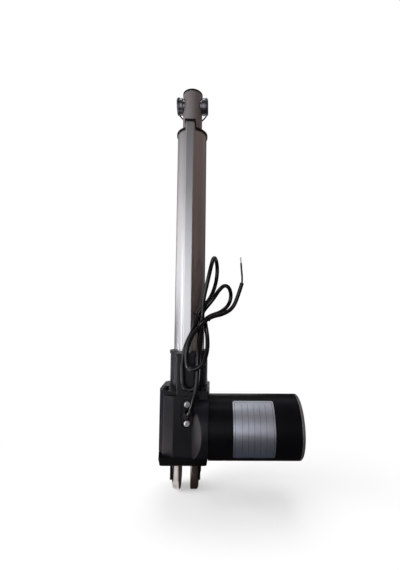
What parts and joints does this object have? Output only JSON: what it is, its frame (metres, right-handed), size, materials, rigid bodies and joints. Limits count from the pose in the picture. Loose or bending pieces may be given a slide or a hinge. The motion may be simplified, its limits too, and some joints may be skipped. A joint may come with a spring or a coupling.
{
  "type": "electric linear actuator",
  "caption": "Electric linear actuator: a worm gear motor across a keyhole tube drives a rod with cross bushes; rear clevis, tied cable.",
  "frame": {"origin": "on the axis of the rear clevis bore, where the axis of the tube meets it", "axes": "+Z along the stroke, towards the rod end; +X along the pivot bores, towards the motor; -Y towards the tube's duct and the cable clamp"},
  "size_m": [0.14, 0.0811, 0.4368],
  "materials": {
    "housing_black": "satin",
    "motor_black": "satin",
    "motor_grey": "cast, matte",
    "tube_aluminium": "anodised, fine lengthwise grain",
    "rod_steel": "ground, bright",
    "zinc": "zinc plated",
    "bearing_steel": "ground",
    "bronze": "sintered",
    "copper": "bright",
    "ferrite": "matte",
    "carbon": "matte",
    "nylon": "matte",
    "seal_rubber": "matte",
    "cable_black": "soft sheen",
    "board_green": "gloss",
    "switch_black": "matte",
    "tinned": "bright"
  },
  "bodies": {
    "housing": {"gear_housing": "housing_black", "tube_socket": "housing_black", "rear_cover": "housing_black", "rear_clevis": "zinc", "housing_screws": "zinc", "socket_screws": "zinc", "outer_tube": "tube_aluminium", "tube_end_cap": "housing_black", "rod_guide": "nylon", "rod_wiper": "seal_rubber", "motor_can": "motor_black", "motor_end_cap": "motor_grey", "motor_bolts": "zinc", "motor_magnets": "ferrite", "brush_holder": "switch_black", "carbon_brushes": "carbon", "motor_rear_bearing": "bearing_steel", "worm_bearing": "bearing_steel", "worm_tip_bush": "bronze", "lower_screw_bearing": "bearing_steel", "upper_screw_bearing": "bearing_steel", "switch_board": "board_green", "limit_switches": "switch_black", "cable_clamp": "housing_black", "clamp_screws": "zinc", "power_cord": "cable_black", "cord_hank": "cable_black", "cord_tail": "cable_black", "core_wires": "cable_black", "core_tips": "tinned", "cable_tie": "cable_black"},
    "rotor": {"motor_shaft": "bearing_steel", "worm": "bearing_steel", "armature_core": "bearing_steel", "armature_windings": "copper", "commutator": "copper"},
    "screw": {"lead_screw": "bearing_steel", "worm_wheel": "nylon", "screw_end_stop": "bearing_steel"},
    "rod": {"rod_tube": "rod_steel", "drive_nut": "nylon", "front_bush": "zinc", "rod_end_cap": "housing_black"},
    "bail": {"keeper_bail": "zinc"}
  },
  "joints": [
    {"name": "motor_spin", "type": "hinge", "parent": "housing", "child": "rotor", "pos_m": [0, -0.018, 0.0565], "axis": [1, 0, 0], "range_deg": [0, 450000]},
    {"name": "screw_spin", "type": "hinge", "parent": "housing", "child": "screw", "pos_m": [0, 0, 0], "axis": [0, 0, 1], "range_deg": [-18000, 0]},
    {"name": "rod_slide", "type": "slide", "parent": "housing", "child": "rod", "axis": [0, 0, 1], "range_m": [0, 0.2]},
    {"name": "bail_swing", "type": "hinge", "parent": "rod", "child": "bail", "pos_m": [0, 0, 0.41], "axis": [1, 0, 0], "range_deg": [0, 85]}
  ],
  "couplings": [
    {"joint": "screw_spin", "follows": "motor_spin", "ratio": -0.04},
    {"joint": "rod_slide", "follows": "motor_spin", "m_per_rad": 0.000025465}
  ]
}
